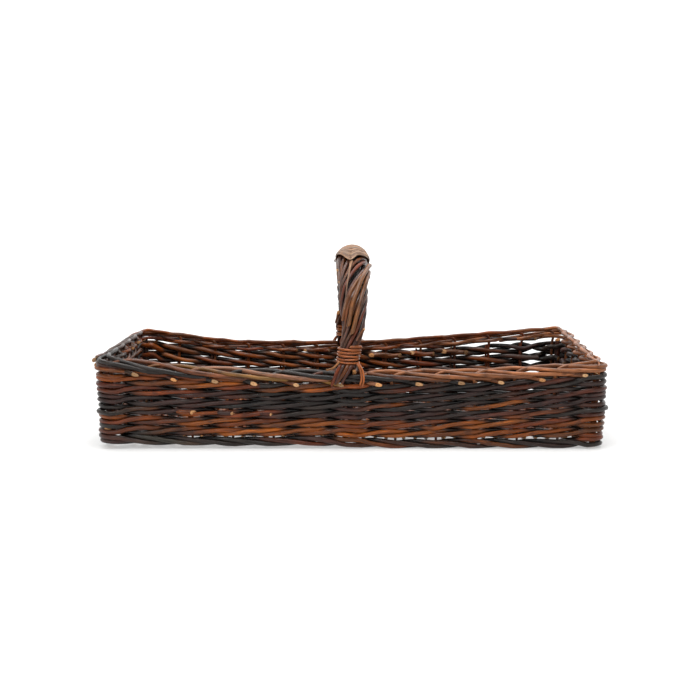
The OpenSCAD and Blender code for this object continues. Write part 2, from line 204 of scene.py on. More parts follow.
class Piece:
    """One mesh of many rods. Every vertex carries its rod's bark colour, darkened with painted shade where the rod lies
    deep between its neighbours, its place on the rod's bark in mm, how far it is from the pith at a cut, and how much
    bark is worn."""

    def __init__(self, name):
        self.name, self.v, self.f, self.mat = name, [], [], []
        self.col, self.bark, self.age = [], [], []
        self.count = 0

    def _add(self, v, f, mat, col, bark, age):
        self.v.append(v)
        self.f.append(f + self.count)
        self.mat.append(np.full(len(f), mat))
        self.col.append(col)
        self.bark.append(bark)
        self.age.append(age)
        self.count += len(v)

    def rod(self, pts, rad, col, seed, sides=9, cuts=(1, 1), slope=(0.5, 0.5), flat=1.0,
            buds=70.0, wob=0.35, wave=60.0, up=None, pale=(1.0, 1.0), turn=None, deep=None, face=(None, None)):
        """pts in mm; rad a number or one for each point; col one or two sRGB colours, which
        change along the rod; cuts says which ends are cut and show; flat presses the section."""
        r = rng_of(seed, 11)
        p = np.array(pts, float)
        num = len(p)
        seg = np.linalg.norm(np.diff(p, axis=0), axis=1)
        s = np.concatenate([[0], np.cumsum(seg)])
        rad = np.broadcast_to(np.asarray(rad, float), (num,)).copy()
        edge = np.clip(np.minimum(s, s[-1] - s) / 25.0, 0, 1)[:, None]
        if wob:
            p = p + wander(s, seed, wave) * wob * edge
        rad *= 1 + 0.03 * np.sin(s / r.uniform(7, 14) + r.uniform(0, TAU))
        # buds: a small swelling on one side
        bud = np.zeros(num)
        bud_dir = np.zeros(num)
        side = r.uniform(0, TAU)
        if buds:
            x = r.uniform(0.3, 1.0) * buds
            while x < s[-1] - 8:
                w = np.exp(-((s - x) / 2.6) ** 2)
                rad *= 1 + 0.10 * w
                bud += w
                bud_dir = np.where(w > 0.3, side, bud_dir)
                side += r.uniform(1.7, 2.7)
                x += buds * r.uniform(0.55, 1.45)
        t, a, b = frames_along(p)
        if up is not None:
            # the section's first axis lies along a given direction
            q = np.broadcast_to(np.asarray(up, float), p.shape)
            a = q - t * np.sum(q * t, axis=1, keepdims=True)
            a /= np.maximum(np.linalg.norm(a, axis=1, keepdims=True), 1e-9)
            b = np.cross(t, a)
        th = np.arange(sides) * TAU / sides + (0 if up is not None else r.uniform(0, 1))
        if turn is not None:
            th = np.arange(sides) * TAU / sides + turn
        ca, sa = np.cos(th), np.sin(th)
        rr = rad[:, None] * (1 + 0.16 * bud[:, None] * np.maximum(0, np.cos(th[None] - bud_dir[:, None])) ** 3)
        off = rr[..., None] * (ca[None, :, None] * a[:, None] + flat * sa[None, :, None] * b[:, None])
        ring = p[:, None] + off
        # cut ends slope to one side
        for e, i in ((0, 0), (1, num - 1)):
            g = r.uniform(0, TAU)
            if face[e] is not None:
                # the cut looks towards a given side
                g = math.atan2(float(np.dot(b[i], face[e])), float(np.dot(a[i], face[e]))) + (math.pi if e else 0.0)
            k = slope[e] * rad[i] * np.cos(th - g)
            ring[i] += t[i][None] * k[:, None]
        v = ring.reshape(-1, 3)
        i = np.arange(num - 1)[:, None] * sides
        j = np.arange(sides)[None]
        jn = (j + 1) % sides
        f = np.stack([i + j, i + jn, i + sides + jn, i + sides + j], axis=-1).reshape(-1, 4)
        vary = 1 + 0.15 * wander(s, seed + 5, 45)[:, :1]
        if isinstance(col, np.ndarray) and col.ndim == 2:
            cc = lin(col) * vary
        else:
            c0 = lin(col[0]) if np.ndim(col[0]) else lin(col)
            c1 = lin(col[1]) if np.ndim(col[0]) else c0
            mix = np.clip(s / max(s[-1], 1) * 1.3 - 0.15 + 0.25 * wander(s, seed + 3, 120)[:, 0], 0, 1)[:, None]
            cc = (c0 * (1 - mix) + c1 * mix) * vary
        grey = cc.mean(axis=1, keepdims=True)
        cc = np.maximum(grey + (cc - grey) * 1.22, 0.002) * DARKEN
        cv = np.repeat(cc, sides, axis=0)
        if deep is not None:
            # painted shade: the bark colour is darkened where the rod lies deep between its neighbours, where shade
            # falls
            c_n, out_dir, d_lo, d_hi, dark = deep
            w = np.abs(np.asarray(c_n, float)[:, None] + np.sum(off * out_dir[:, None], axis=2))
            w = np.clip((w - d_lo) / (d_hi - d_lo), 0, 1).reshape(-1, 1)
            cv = cv * (dark + (1 - dark) * w * w * (3 - 2 * w))
        o = r.uniform(0, 900, 2)
        bark = np.stack([np.broadcast_to(rr * ca[None], (num, sides)) + o[0],
                         np.broadcast_to(rr * sa[None], (num, sides)) + o[1],
                         np.broadcast_to(s[:, None], (num, sides)) + o[0] * 7], axis=-1).reshape(-1, 3)
        age = np.repeat(np.clip(bud, 0, 1), sides)
        self._add(v, f, 0, cv, bark, age)
        for e, i in ((0, 0), (1, num - 1)):
            d = -1 if e == 0 else 1
            outer = ring[i]
            inner = p[i] + (ring[i] - p[i]) * 0.90 + d * t[i] * rad[i] * 0.10
            mid = (inner.mean(axis=0) + d * t[i] * rad[i] * 0.02)[None]
            vv = np.concatenate([outer, inner, mid])
            o2 = np.arange(sides)
            on = (o2 + 1) % sides
            quad = np.stack([o2, on, sides + on, sides + o2], axis=-1)
            fan = np.stack([sides + o2, sides + on, np.full(sides, 2 * sides), np.full(sides, 2 * sides)], axis=-1)
            if e == 1:
                pass
            else:
                quad = quad[:, ::-1]
                fan = fan[:, [1, 0, 2, 3]]
            ff = np.concatenate([quad, fan])
            shown = cuts[e]
            w = r.uniform(0.0, 1.0)
            tone = np.array([1.0, 1.0 - 0.24 * w, 1.0 - 0.46 * w]) * (pale[e] * r.uniform(0.82, 1.12))
            cval = np.broadcast_to(tone if shown else cc[i], (len(vv), 3))
            rim = np.concatenate([np.ones(sides), np.full(sides, 0.86), [0.0]])
            bk = np.concatenate([np.stack([rad[i] * ca, rad[i] * sa, np.full(sides, o[0])], -1),
                                 np.stack([rad[i] * ca, rad[i] * sa, np.full(sides, o[0])], -1) * 0.9,
                                 [[0, 0, o[0]]]])
            self._add(vv, ff, 1 if shown else 0, cval, bk, rim if shown else np.zeros(len(vv)))

    def make(self, mats, replaces=(), body="root"):
        v = np.concatenate(self.v)
        # what touches the floor is flattened on it, not sunk into it
        v[:, 2] = np.where(v[:, 2] < 0.3, 0.3 * np.exp((np.minimum(v[:, 2], 0.3) - 0.3) / 0.3), v[:, 2])
        v = v * 0.001
        f = np.concatenate(self.f)
        mat = np.concatenate(self.mat)
        tri = f[:, 2] == f[:, 3]
        loops = np.where(tri, 3, 4)
        starts = np.concatenate([[0], np.cumsum(loops)[:-1]])
        idx = np.empty(int(loops.sum()), dtype=np.int32)
        for c in range(3):
            idx[starts + c] = f[:, c]
        idx[starts[~tri] + 3] = f[~tri, 3]
        me = bpy.data.meshes.new(self.name)
        me.vertices.add(len(v))
        me.vertices.foreach_set("co", v.astype(np.float32).ravel())
        me.loops.add(len(idx))
        me.loops.foreach_set("vertex_index", idx)
        me.polygons.add(len(f))
        me.polygons.foreach_set("loop_start", starts.astype(np.int32))
        me.polygons.foreach_set("loop_total", loops.astype(np.int32))
        me.polygons.foreach_set("material_index", mat.astype(np.int32))
        me.polygons.foreach_set("use_smooth", np.ones(len(f), dtype=bool))
        me.update(calc_edges=True)
        me.validate()
        col = np.concatenate(self.col)
        a = me.attributes.new("bark_col_and_gap_shade", "FLOAT_COLOR", "POINT")
        a.data.foreach_set("color", np.concatenate([col, np.ones((len(col), 1))], axis=1).astype(np.float32).ravel())
        a = me.attributes.new("bark", "FLOAT_VECTOR", "POINT")
        a.data.foreach_set("vector", np.concatenate(self.bark).astype(np.float32).ravel())
        a = me.attributes.new("age", "FLOAT", "POINT")
        a.data.foreach_set("value", np.concatenate(self.age).astype(np.float32).ravel())
        ob = bpy.data.objects.new(self.name, me)
        for m in mats:
            me.materials.append(m)
        bpy.context.scene.collection.objects.link(ob)
        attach(ob, body)
        if replaces:
            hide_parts(*replaces)
        return ob


# =====================================================================================
# materials
# =====================================================================================
def new_mat(name):
    m = bpy.data.materials.new(name)
    m.use_nodes = True
    nt = m.node_tree
    nt.nodes.clear()
    out = nt.nodes.new("ShaderNodeOutputMaterial")
    sh = nt.nodes.new("ShaderNodeBsdfPrincipled")
    nt.links.new(sh.outputs[0], out.inputs[0])
    return m, nt, sh


def node(nt, kind, **kw):
    n = nt.nodes.new(kind)
    for k, v in kw.items():
        if k.startswith("in_"):
            n.inputs[k[3:].replace("_", " ")].default_value = v
        else:
            setattr(n, k, v)
    return n


def math_node(nt, op, a, b=None, clamp=False):
    n = nt.nodes.new("ShaderNodeMath")
    n.operation = op
    n.use_clamp = clamp
    for i, q in enumerate((a, b)):
        if q is None:
            continue
        if isinstance(q, (int, float)):
            n.inputs[i].default_value = q
        else:
            nt.links.new(q, n.inputs[i])
    return n.outputs[0]


def mix_col(nt, blend, fac, a, b):
    n = nt.nodes.new("ShaderNodeMix")
    n.data_type = "RGBA"
    n.blend_type = blend
    n.clamp_result = False
    for sock, q in ((n.inputs[0], fac), (n.inputs[6], a), (n.inputs[7], b)):
        if isinstance(q, (int, float)):
            sock.default_value = q
        elif isinstance(q, (tuple, list, np.ndarray)):
            sock.default_value = tuple(q)[:3] + (1.0,)
        else:
            nt.links.new(q, sock)
    return n.outputs[2]


def ramp(nt, fac, stops):
    n = nt.nodes.new("ShaderNodeValToRGB")
    el = n.color_ramp.elements
    while len(el) < len(stops):
        el.new(0.5)
    for e, (p, c) in zip(el, stops):
        e.position = p
        e.color = (c, c, c, 1.0) if isinstance(c, (int, float)) else tuple(c)[:3] + (1.0,)
    nt.links.new(fac, n.inputs[0])
    return n.outputs[0]


def noise(nt, vec, scale_vec, detail=3.0, rough=0.55, offset=(0, 0, 0)):
    mp = nt.nodes.new("ShaderNodeMapping")
    mp.inputs["Scale"].default_value = scale_vec
    mp.inputs["Location"].default_value = offset
    nt.links.new(vec, mp.inputs["Vector"])
    n = nt.nodes.new("ShaderNodeTexNoise")
    n.inputs["Scale"].default_value = 1.0
    n.inputs["Detail"].default_value = detail
    n.inputs["Roughness"].default_value = rough
    nt.links.new(mp.outputs[0], n.inputs["Vector"])
    return n.outputs["Fac"]


def bark_material(name, gloss=0.31, streak=0.72, bloom=0.30):
    """Willow bark: long streaks, blotches of grey bloom, small pale pores and a satin gloss.
    All sizes are in mm along and round the rod."""
    m, nt, sh = new_mat(name)
    col = node(nt, "ShaderNodeAttribute", attribute_name="bark_col_and_gap_shade").outputs["Color"]
    vec = node(nt, "ShaderNodeAttribute", attribute_name="bark").outputs["Vector"]
    age = node(nt, "ShaderNodeAttribute", attribute_name="age").outputs["Fac"]
    fine = noise(nt, vec, (1.5, 1.5, 0.10), 4.0, 0.6)
    broad = noise(nt, vec, (0.42, 0.42, 0.045), 3.0, 0.55, (13, 5, 2))
    patch = noise(nt, vec, (0.16, 0.16, 0.028), 2.0, 0.5, (31, 17, 4))
    k = ramp(nt, fine, [(0.30, 1 - streak * 0.62), (0.52, 1.0), (0.72, 1 + streak * 0.75)])
    c = mix_col(nt, "MULTIPLY", 1.0, col, k)
    k2 = ramp(nt, broad, [(0.32, 0.50), (0.5, 0.98), (0.68, 1.62)])
    c = mix_col(nt, "MULTIPLY", 1.0, c, k2)
    # thin pale streaks where the skin of the bark is rubbed
    rub = noise(nt, vec, (2.4, 2.4, 0.06), 3.0, 0.6, (3, 41, 9))
    warm = mix_col(nt, "MIX", 0.5, c, (0.26, 0.15, 0.085))
    c = mix_col(nt, "MIX", ramp(nt, rub, [(0.60, 0.0), (0.74, 0.55)]), c, warm)
    # grey bloom on the bark in long patches
    f = ramp(nt, patch, [(0.50, 0.0), (0.68, bloom)])
    grey = mix_col(nt, "MIX", 0.45, c, (0.075, 0.062, 0.055))
    c = mix_col(nt, "MIX", f, c, grey)
    # pores
    mp = nt.nodes.new("ShaderNodeMapping")
    mp.inputs["Scale"].default_value = (0.55, 0.55, 0.26)
    nt.links.new(vec, mp.inputs["Vector"])
    vo = nt.nodes.new("ShaderNodeTexVoronoi")
    vo.inputs["Scale"].default_value = 1.0
    nt.links.new(mp.outputs[0], vo.inputs["Vector"])
    pore = ramp(nt, vo.outputs["Distance"], [(0.07, 1.0), (0.13, 0.0)])
    c = mix_col(nt, "MIX", math_node(nt, "MULTIPLY", pore, 0.40), c, (0.20, 0.12, 0.07))
    # darker scars at the buds
    c = mix_col(nt, "MULTIPLY", math_node(nt, "MULTIPLY", age, 0.6), c, (0.35, 0.30, 0.28))
    nt.links.new(c, sh.inputs["Base Color"])
    rg = ramp(nt, broad, [(0.3, gloss - 0.06), (0.7, gloss + 0.20)])
    nt.links.new(rg, sh.inputs["Roughness"])
    sh.inputs["Specular IOR Level"].default_value = 0.30
    h = math_node(nt, "ADD", math_node(nt, "MULTIPLY", fine, 0.8),
                  math_node(nt, "ADD", math_node(nt, "MULTIPLY", broad, 0.5), math_node(nt, "MULTIPLY", pore, 0.35)))
    bp = nt.nodes.new("ShaderNodeBump")
    bp.inputs["Strength"].default_value = 0.8
    bp.inputs["Distance"].default_value = 0.0004
    nt.links.new(h, bp.inputs["Height"])
    nt.links.new(bp.outputs[0], sh.inputs["Normal"])
    return m


def cut_material(name):
    """A cut end: pale wood with a dark pith, faint rings and a thin edge of bark."""
    m, nt, sh = new_mat(name)
    col = node(nt, "ShaderNodeAttribute", attribute_name="bark_col_and_gap_shade").outputs["Color"]
    vec = node(nt, "ShaderNodeAttribute", attribute_name="bark").outputs["Vector"]
    rim = node(nt, "ShaderNodeAttribute", attribute_name="age").outputs["Fac"]
    ring = ramp(nt, rim, [(0.0, (0.17, 0.070, 0.025)), (0.16, (0.54, 0.29, 0.13)), (0.45, (0.74, 0.46, 0.24)),
                          (0.66, (0.60, 0.34, 0.16)), (0.86, (0.68, 0.40, 0.20)), (1.0, (0.16, 0.070, 0.030))])
    n = noise(nt, vec, (1.3, 1.3, 1.0), 4.0, 0.6)
    k = ramp(nt, n, [(0.3, 0.62), (0.6, 1.1)])
    c = mix_col(nt, "MULTIPLY", 1.0, mix_col(nt, "MULTIPLY", 1.0, ring, k), col)
    nt.links.new(c, sh.inputs["Base Color"])
    sh.inputs["Roughness"].default_value = 0.7
    sh.inputs["Specular IOR Level"].default_value = 0.3
    bp = nt.nodes.new("ShaderNodeBump")
    bp.inputs["Strength"].default_value = 0.5
    bp.inputs["Distance"].default_value = 0.0004
    nt.links.new(n, bp.inputs["Height"])
    nt.links.new(bp.outputs[0], sh.inputs["Normal"])
    return m


BARK = bark_material("willow_bark")
STICK = bark_material("stick_bark", gloss=0.42, streak=0.6, bloom=0.5)
SKEIN = bark_material("skein_bark", gloss=0.46, streak=0.35, bloom=0.25)
CUT = cut_material("cut_wood")
MATS = [BARK, CUT]

# bark colours, sRGB
ORANGE, ORANGE2 = (150, 82, 44), (176, 104, 60)
RED, RED2 = (96, 46, 30), (122, 62, 40)
PURPLE, PURPLE2 = (62, 37, 33), (86, 52, 44)
BLACK, BLACK2 = (33, 28, 26), (49, 41, 37)
GREEN, GREEN2 = (52, 50, 43), (68, 65, 56)
TAN, TAN2 = (168, 126, 76), (186, 148, 98)
BROWN, BROWN2 = (118, 70, 42), (148, 98, 64)


def shade(r, *cols, spread=0.10):
    """Two colours for one rod, picked near a family."""
    i = r.integers(0, len(cols))
    j = r.integers(0, len(cols))
    k = 1 + r.uniform(-spread, spread)
    return tuple(np.clip(np.array(cols[i]) * k, 0, 255)), tuple(np.clip(np.array(cols[j]) * k, 0, 255))


# =====================================================================================
# walls: rods drawn in wall coordinates and then laid on the walls
# =====================================================================================
def wall_rod(piece, ctrl, rad, col, seed, step=3.0, depth=None, face_out=False, **kw):
    """ctrl rows are [u, n, z, r] in wall coordinates."""
    c = np.array(ctrl, float)
    q = smooth(c, step, scale=(UNIT_LONG, 1, 1))
    p = at(q[:, 0], q[:, 1], q[:, 2])
    r = q[:, 3] if c.shape[1] > 3 else rad
    if callable(col):
        col = col(q[:, 0])
    # painted shade: the bark colour is darkened where the rod lies deep inside the wall, away from its outer face
    if depth is not None:
        o = at(q[:, 0], q[:, 1] + 1.0, q[:, 2]) - p
        kw["deep"] = (q[:, 1], o, depth[0], depth[1], depth[2])
    if face_out:
        o = at(q[:, 0], q[:, 1] + 1.0, q[:, 2]) - p
        kw["face"] = (o[0] * face_out, o[-1] * face_out)
    piece.rod(p, r, col, seed, **kw)


def taper(ctrl, r0, r1):
    c = np.array(ctrl, float)
    s = np.linspace(0, 1, len(c))
    return np.concatenate([c, (r0 + (r1 - r0) * s)[:, None]], axis=1)


def pass_n(k, inside, rod_r, z):
    """How far from the stake line a rod passes at stake k."""
    if is_corner(k):
        q = 4.0 + rod_r + 0.4
    elif is_bow(k):
        q = max(3.7, 2.6 + 2.2 * min(1, max(0, (z - 22) / 44)) + rod_r + 0.1)
    else:
        q = 1.9 + rod_r + 0.15
    return -q if inside else q


def wale_ctrl(k0, k1, phase, zf, hi, lo, rod_r, seed, flip=lambda k: False, jn=0.35, jv=0.05):
    """Control points of one waling strand from stake k0 to k1: behind one stake, in front of
    two. zf(u, v) is the height, hi and lo the two levels of a stroke outside."""
    r = rng_of(seed, 21)
    out = []
    for k in range(k0, k1 + 1):
        m = (k + phase) % 3
        f = flip(k)
        a, b = (hi, lo) if f else (lo, hi)
        v = (0.5, a, b)[m] + r.normal(0, jv)
        if is_corner(k):
            v += r.normal(0, 0.06)
        z = zf(k, v)
        n = pass_n(k, m == 0, rod_r, float(z)) + r.normal(0, jn) * 0.5 + (0.3 if m else -0.2) * abs(r.normal(0, jn))
        if is_corner(k):
            n += math.copysign(max(-0.4, r.normal(0.7, 1.1)), n)
            us = (-0.20, 0.0, 0.20)
        elif is_bow(k):
            us = (-0.2, 0.2)
        else:
            us = (0.02,)
        for e in us:
            out.append([k + e, n, float(zf(k + e, v))])
        q = 0.52 * (1.9 + rod_r)
        if m == 0:
            out.append([k + 0.42, -q, float(zf(k + 0.42, 0.5 + (a - 0.5) * 0.9 + r.normal(0, jv * 0.5)))])
        elif m == 2:
            out.append([k + 0.58, -q * 0.8, float(zf(k + 0.58, 0.5 + (b - 0.5) * 0.9 + r.normal(0, jv * 0.5)))])
        elif m == 1:
            bulge = pass_n(1, False, rod_r, 40) + abs(r.normal(0, jn)) * 0.6
            out.append([k + 0.5, bulge, float(zf(k + 0.5, v * 0.5 + (0.5, a, b)[2] * 0.5 + r.normal(0, jv * 0.6)))])
    return out


def strand_rods(piece, knots, phase, zf, hi, lo, radius, seed, colour, flip=lambda k: False,
                step=3.0, jv=0.05, show="out", **kw):
    """A strand round the basket made of several rods, joined at the stakes in knots. A rod's
    thin end stops on the side that show names, and the next rod's butt lies behind it."""
    r = rng_of(seed, 31)
    for k, k1 in zip(knots[:-1], knots[1:]):
        rb = radius * r.uniform(1.02, 1.10)
        rt = radius * r.uniform(0.90, 0.96)
        c = wale_ctrl(k, k1, phase, zf, hi, lo, radius, seed * 17 + k, flip, jv=jv)
        c = [q for q in c if k - 0.05 < q[0] <= k1 - 0.30]
        inn = pass_n(1, True, radius, 40)
        out = pass_n(1, False, radius, 40)
        c.insert(0, [k - 0.33 - r.uniform(0, 0.1), inn - r.uniform(0.6, 1.6), float(zf(k - 0.35, r.uniform(0.38, 0.5)))])
        if show == "out":
            c.append([k1 - 0.25, out + 0.9, float(zf(k1 - 0.25, 0.60))])
            c.append([k1 + r.uniform(0.03, 0.12), out + r.uniform(1.2, 2.0), float(zf(k1, r.uniform(0.46, 0.56)))])
        else:
            c.append([k1 - 0.15, inn * 1.05, float(zf(k1 - 0.15, 0.5))])
            c.append([k1 + r.uniform(0.2, 0.42), inn - r.uniform(1.4, 2.6), float(zf(k1 + 0.3, r.uniform(0.55, 0.75)))])
        wall_rod(piece, fill_out(taper(c, rb, rt), zf), None, colour, seed * 31 + k, step=step, face_out=1 if show == "out" else -1,
                 slope=(r.uniform(0.4, 1.1), r.uniform(1.0, 1.7)), pale=(0.4, r.uniform(0.8, 1.15)), **kw)


def fill_out(c, zf):
    """Stouter rods where the rows stand further apart, above all along the back."""
    u = np.mod(c[:, 0], 36.0)
    pitch = np.asarray(zf(c[:, 0], 1.0), float) - np.asarray(zf(c[:, 0], 0.0), float)
    back = np.clip(np.minimum(u - 17.6, 30.4 - u) / 0.8, 0, 1)
    c[:, 3] *= np.minimum(1 + (pitch / ROW_H - 1) * (0.35 + 0.6 * back) * (pitch > 8) + 0.05 * back,
                          np.interp(u, [25, 27, 30.3, 30.6], [1.24, 1.34, 1.34, 1.24]))
    return c


def side_zf(j):
    def f(u, v):
        return row_z(np.asarray(u, float), j - 1 + v)
    return f


def band(seed, keys, spread=0.12):
    """Bark colour by place: keys are [u, colour] round the basket from u = 0, and each rod
    departs from them a little."""
    r = rng_of(seed, 51)
    us = np.array([k[0] for k in keys], float) + r.normal(0, 0.35, len(keys))
    us = np.maximum.accumulate(us)
    cols = np.array([np.array(k[1], float) * (1 + r.uniform(-spread, spread)) for k in keys])

    def f(u):
        v = np.mod(u, 36.0)
        return np.stack([np.interp(v, us, cols[:, c], period=36.0) for c in range(3)], axis=-1)
    return f


# the rods were sorted as the basket was woven: [u, colour] for each strand of each row
ROW_BARK = {
    1: ([[0, BLACK], [1.6, PURPLE], [2.4, ORANGE], [12, BROWN], [14, RED], [20, ORANGE], [33, RED], [35, PURPLE]],
        [[0, RED], [2, BROWN], [3, ORANGE2], [11, ORANGE], [13, RED2], [22, BROWN], [30, ORANGE], [34, BLACK2]],
        [[0, BLACK2], [2.5, ORANGE], [7, ORANGE2], [12, ORANGE], [15, BROWN], [24, RED2], [34, RED]]),
    2: ([[0, ORANGE], [4, ORANGE2], [12, ORANGE], [16, RED], [20, RED2], [26, ORANGE], [34, BROWN]],
        [[0, RED2], [2, ORANGE], [6, RED2], [9, ORANGE2], [13, BROWN], [22, ORANGE], [30, BROWN]],
        [[0, RED], [3, BROWN], [5, ORANGE], [12, RED2], [18, PURPLE], [23, ORANGE], [33, RED]]),
    3: ([[0, BLACK2], [1.5, ORANGE], [3.6, RED2], [4.4, PURPLE], [9.5, PURPLE2], [10.5, RED2], [14, PURPLE], [21, ORANGE], [30, RED2]],
        [[0, PURPLE], [3.5, PURPLE2], [5, BLACK2], [8, PURPLE], [9, ORANGE], [12.5, PURPLE], [19, BLACK2], [22, ORANGE2], [31, BROWN]],
        [[0, BLACK], [2.5, ORANGE], [3.2, RED], [6, PURPLE], [12, BLACK2], [16, PURPLE], [21, RED2], [26, ORANGE], [33, RED]]),
    4: ([[0, PURPLE], [3, PURPLE2], [5, BLACK2], [12, PURPLE], [18, BLACK2], [21, RED2], [24, ORANGE], [32, RED]],
        [[0, PURPLE], [4, BLACK], [6, PURPLE], [6.8, ORANGE], [10, ORANGE2], [11.5, RED], [14, BLACK2], [22, ORANGE], [31, BROWN]],
        [[0, BLACK2], [2, PURPLE], [6, BLACK], [11, PURPLE], [15, RED], [20, BLACK2], [23, RED2], [28, ORANGE], [33, PURPLE]]),
    5: ([[0, RED2], [2.6, RED], [4, BLACK], [9, BLACK2], [10.5, RED], [12, PURPLE2], [17, PURPLE], [21, ORANGE], [28, ORANGE2], [33, BROWN]],
        [[0, ORANGE], [2.2, RED2], [3.2, PURPLE], [5, BLACK], [9, PURPLE], [10, RED], [13, BLACK2], [20, BLACK], [23, ORANGE], [34, RED2]],
        [[0, RED], [3, PURPLE], [6, BLACK], [9, PURPLE], [12, RED], [18, BLACK2], [22, RED2], [25, ORANGE], [33, RED]]),
    6: ([[0, BROWN], [2.5, ORANGE], [6, BROWN], [7.5, RED], [8.2, BLACK2], [10, RED], [12, PURPLE2], [18, BLACK2], [21.5, BROWN], [28, ORANGE], [34, ORANGE]],
        [[0, ORANGE], [4, ORANGE2], [6.8, RED2], [7.6, RED], [8.5, BLACK], [12, BLACK2], [20, PURPLE], [23, ORANGE], [32, BROWN]],
        [[0, ORANGE], [3.4, RED2], [4.4, BLACK2], [5.5, BLACK], [12, PURPLE], [17, RED], [21, BROWN], [26, ORANGE2], [33, BROWN]]),
}
ROW_START = {1: 16, 2: 31, 3: 2, 4: 13, 5: 32, 6: 21}
ROW_SHOW = {1: "out", 2: "out", 3: "out", 4: "in", 5: "out", 6: "in"}

FILL_FRONT = ([-4.5, -3, -1, 0, 1.5, 3, 4.5], [1.0, 2.0, 3.6, 4.0, 3.4, 1.8, 0.8])
FILL_BACK = ([24, 25, 27, 29, 30, 31, 32.5], [2.5, 4.0, 6.5, 8.5, 9.0, 7.0, 3.0])
FILL_RIGHT = ([18.5, 20, 22, 23.5, 25], [9.0, 9.5, 7.0, 4.5, 3.0])
PACKING = (
    (-4, FILL_FRONT, 2.15, [[0, (132, 78, 46)], [3, BROWN], [34, RED2]]),
    (-3, FILL_FRONT, 2.1, [[0, BROWN], [2, RED2], [34, PURPLE2]]),
    (-2, FILL_FRONT, 2.2, [[0, RED2], [3, (128, 74, 44)], [34, PURPLE]]),
    (25, FILL_BACK, 2.2, [[24, RED2], [28, BROWN], [32, PURPLE2]]),
    (26, FILL_BACK, 2.1, [[24, BROWN], [28, RED2], [32, PURPLE]]),
    (19, FILL_RIGHT, 2.2, [[18, BLACK2], [21, RED2], [25, BROWN]]))


def packing_zf(hump):
    def f(u, v):
        w = np.asarray(u, float)
        return row_z(w, float(ROWS)) + 0.4 + np.interp(w, hump[0], hump[1]) * np.asarray(v, float)
    return f


# on the back wall the strokes were laid the other way
flip_back = lambda k: 18 < k % 36 <= 30
for j in range(1, ROWS + 1):
    pc = Piece("side_wale_row_%d" % j)
    for s in range(3):
        seed = 100 * j + s
        r = rng_of(seed, 41)
        k0 = ROW_START[j] + s
        phase = (-k0) % 3
        knots = [k0, k0 + 15 + 3 * (j % 3), k0 + 36]
        # each row's bark is darkened with painted shade where it lies deep in the wall
        strand_rods(pc, knots, phase, side_zf(j), 0.765, 0.235, r.uniform(2.36, 2.74), seed,
                    band(seed, ROW_BARK[j][s]), flip=flip_back, show=ROW_SHOW[j], wob=0.34, depth=(2.3, 6.4, 0.07))
    if j == ROWS:
        # packing: short rods that fill the corners up to the border
        for s, (k0, hump, rr, keys) in enumerate(PACKING):
            # the packing rods' bark is darkened with painted shade deep in the wall too
            strand_rods(pc, [k0, k0 + 6], (-k0) % 3, packing_zf(hump), 0.74, 0.24, rr, 640 + s,
                        band(640 + s, keys), flip=flip_back, show="in", wob=0.2, depth=(1.2, 5.0, 0.2))
    pc.make(MATS, ["side_wale_row_%d" % j])

# foot: three strong rods whose strokes fall to the right
def foot_zf(u, v):
    w = np.mod(np.asarray(u, float), 36.0)
    slack = np.interp(w, [0, 1.2, 1.8, 4.4, 4.9, 6.2, 6.7, 8.1, 8.6, 9.3, 9.7, 11.0, 11.5, 36],
                      [0, 0, 1.7, 2.0, 0.4, 0.4, 2.0, 2.0, 0.3, 0.3, 1.9, 1.9, 0.2, 0])
    return 0.2 + foot_rise(u) + (11.8 - slack) * np.asarray(v, float)


FOOT_BARK = ([[0, PURPLE2], [2, GREEN], [4, BLACK2], [6, BROWN], [8, RED2], [9.5, BROWN], [12, RED2], [18, PURPLE], [27, GREEN]],
             [[0, BLACK2], [1.5, GREEN2], [3.5, PURPLE2], [5, RED2], [9, BLACK2], [12, PURPLE], [20, BROWN], [30, BLACK2]],
             [[0, PURPLE], [3, BLACK2], [5, PURPLE2], [7, BROWN], [10, PURPLE], [12, BLACK2], [16, RED], [28, PURPLE2]])
for s in range(3):
    pc = Piece("foot_rod_%d" % (s + 1))
    k0 = 14 + s
    # the foot rods' bark is darkened with painted shade where it lies deep in the wall
    strand_rods(pc, [k0, k0 + 18, k0 + 36], (-k0) % 3, foot_zf, 0.755, 0.23, 2.66, 700 + s, band(700 + s, FOOT_BARK[s]),
                flip=lambda k: True, wob=0.15, jv=0.02, buds=90, depth=(2.0, 6.2, 0.09))
    pc.make(MATS, ["foot_wale_rod_%d" % (s + 1)])

# corner posts
for name, k in (("front_left", 0), ("front_right", 12), ("back_right", 18), ("back_left", 30)):
    pc = Piece("corner_post_" + name)
    top = float(weave_top(k)) + 1.0
    c = [[k, 0, 1.2 + float(foot_rise(k)), 4.0], [k, 0, 30, 4.0], [k, 0, 55, 3.9], [k, 0, top, 3.7]]
    r = rng_of(900, k)
    wall_rod(pc, c, None, shade(r, PURPLE, RED, BROWN), 900 + k, wob=0.1, sides=12)
    pc.make(MATS, ["corner_post_" + name])

# =====================================================================================
# stakes and the border that they turn into
# =====================================================================================
BORDER = [[0, 0, 4.6], [0.12, -0.7, 6.3], [0.5, -3.0, 7.8], [0.75, -4.0, 8.1], [1, -4.4, 8.0],
          [1.25, -2.5, 7.5], [1.5, 0, 6.9], [1.75, 2.9, 6.3], [2, 4.7, 5.6], [2.5, 5.1, 4.4], [3, 4.9, 3.1], [3.25, 3.7, 2.6],
          [3.5, 1.2, 2.2], [4, -4.4, 1.5], [4.25, -1.0, 1.2], [4.4, 1.8, 0.9], [4.52, 4.4, 0.4], [4.64, 6.6, -0.3]]
BORDER_K = 1.44
BORDER_V = 1.66


def side_shift(k):
    return 0.14 if is_corner(k) else 0.2 if is_bow(k) else 0.0


def swell(u, n):
    d = min(abs(u - 6), abs(u - 24), abs(u - 42))
    return 0 if n == 0 else math.copysign(2.7, n) * max(0, 1 - d / 0.5) * min(1, abs(n) / 3)


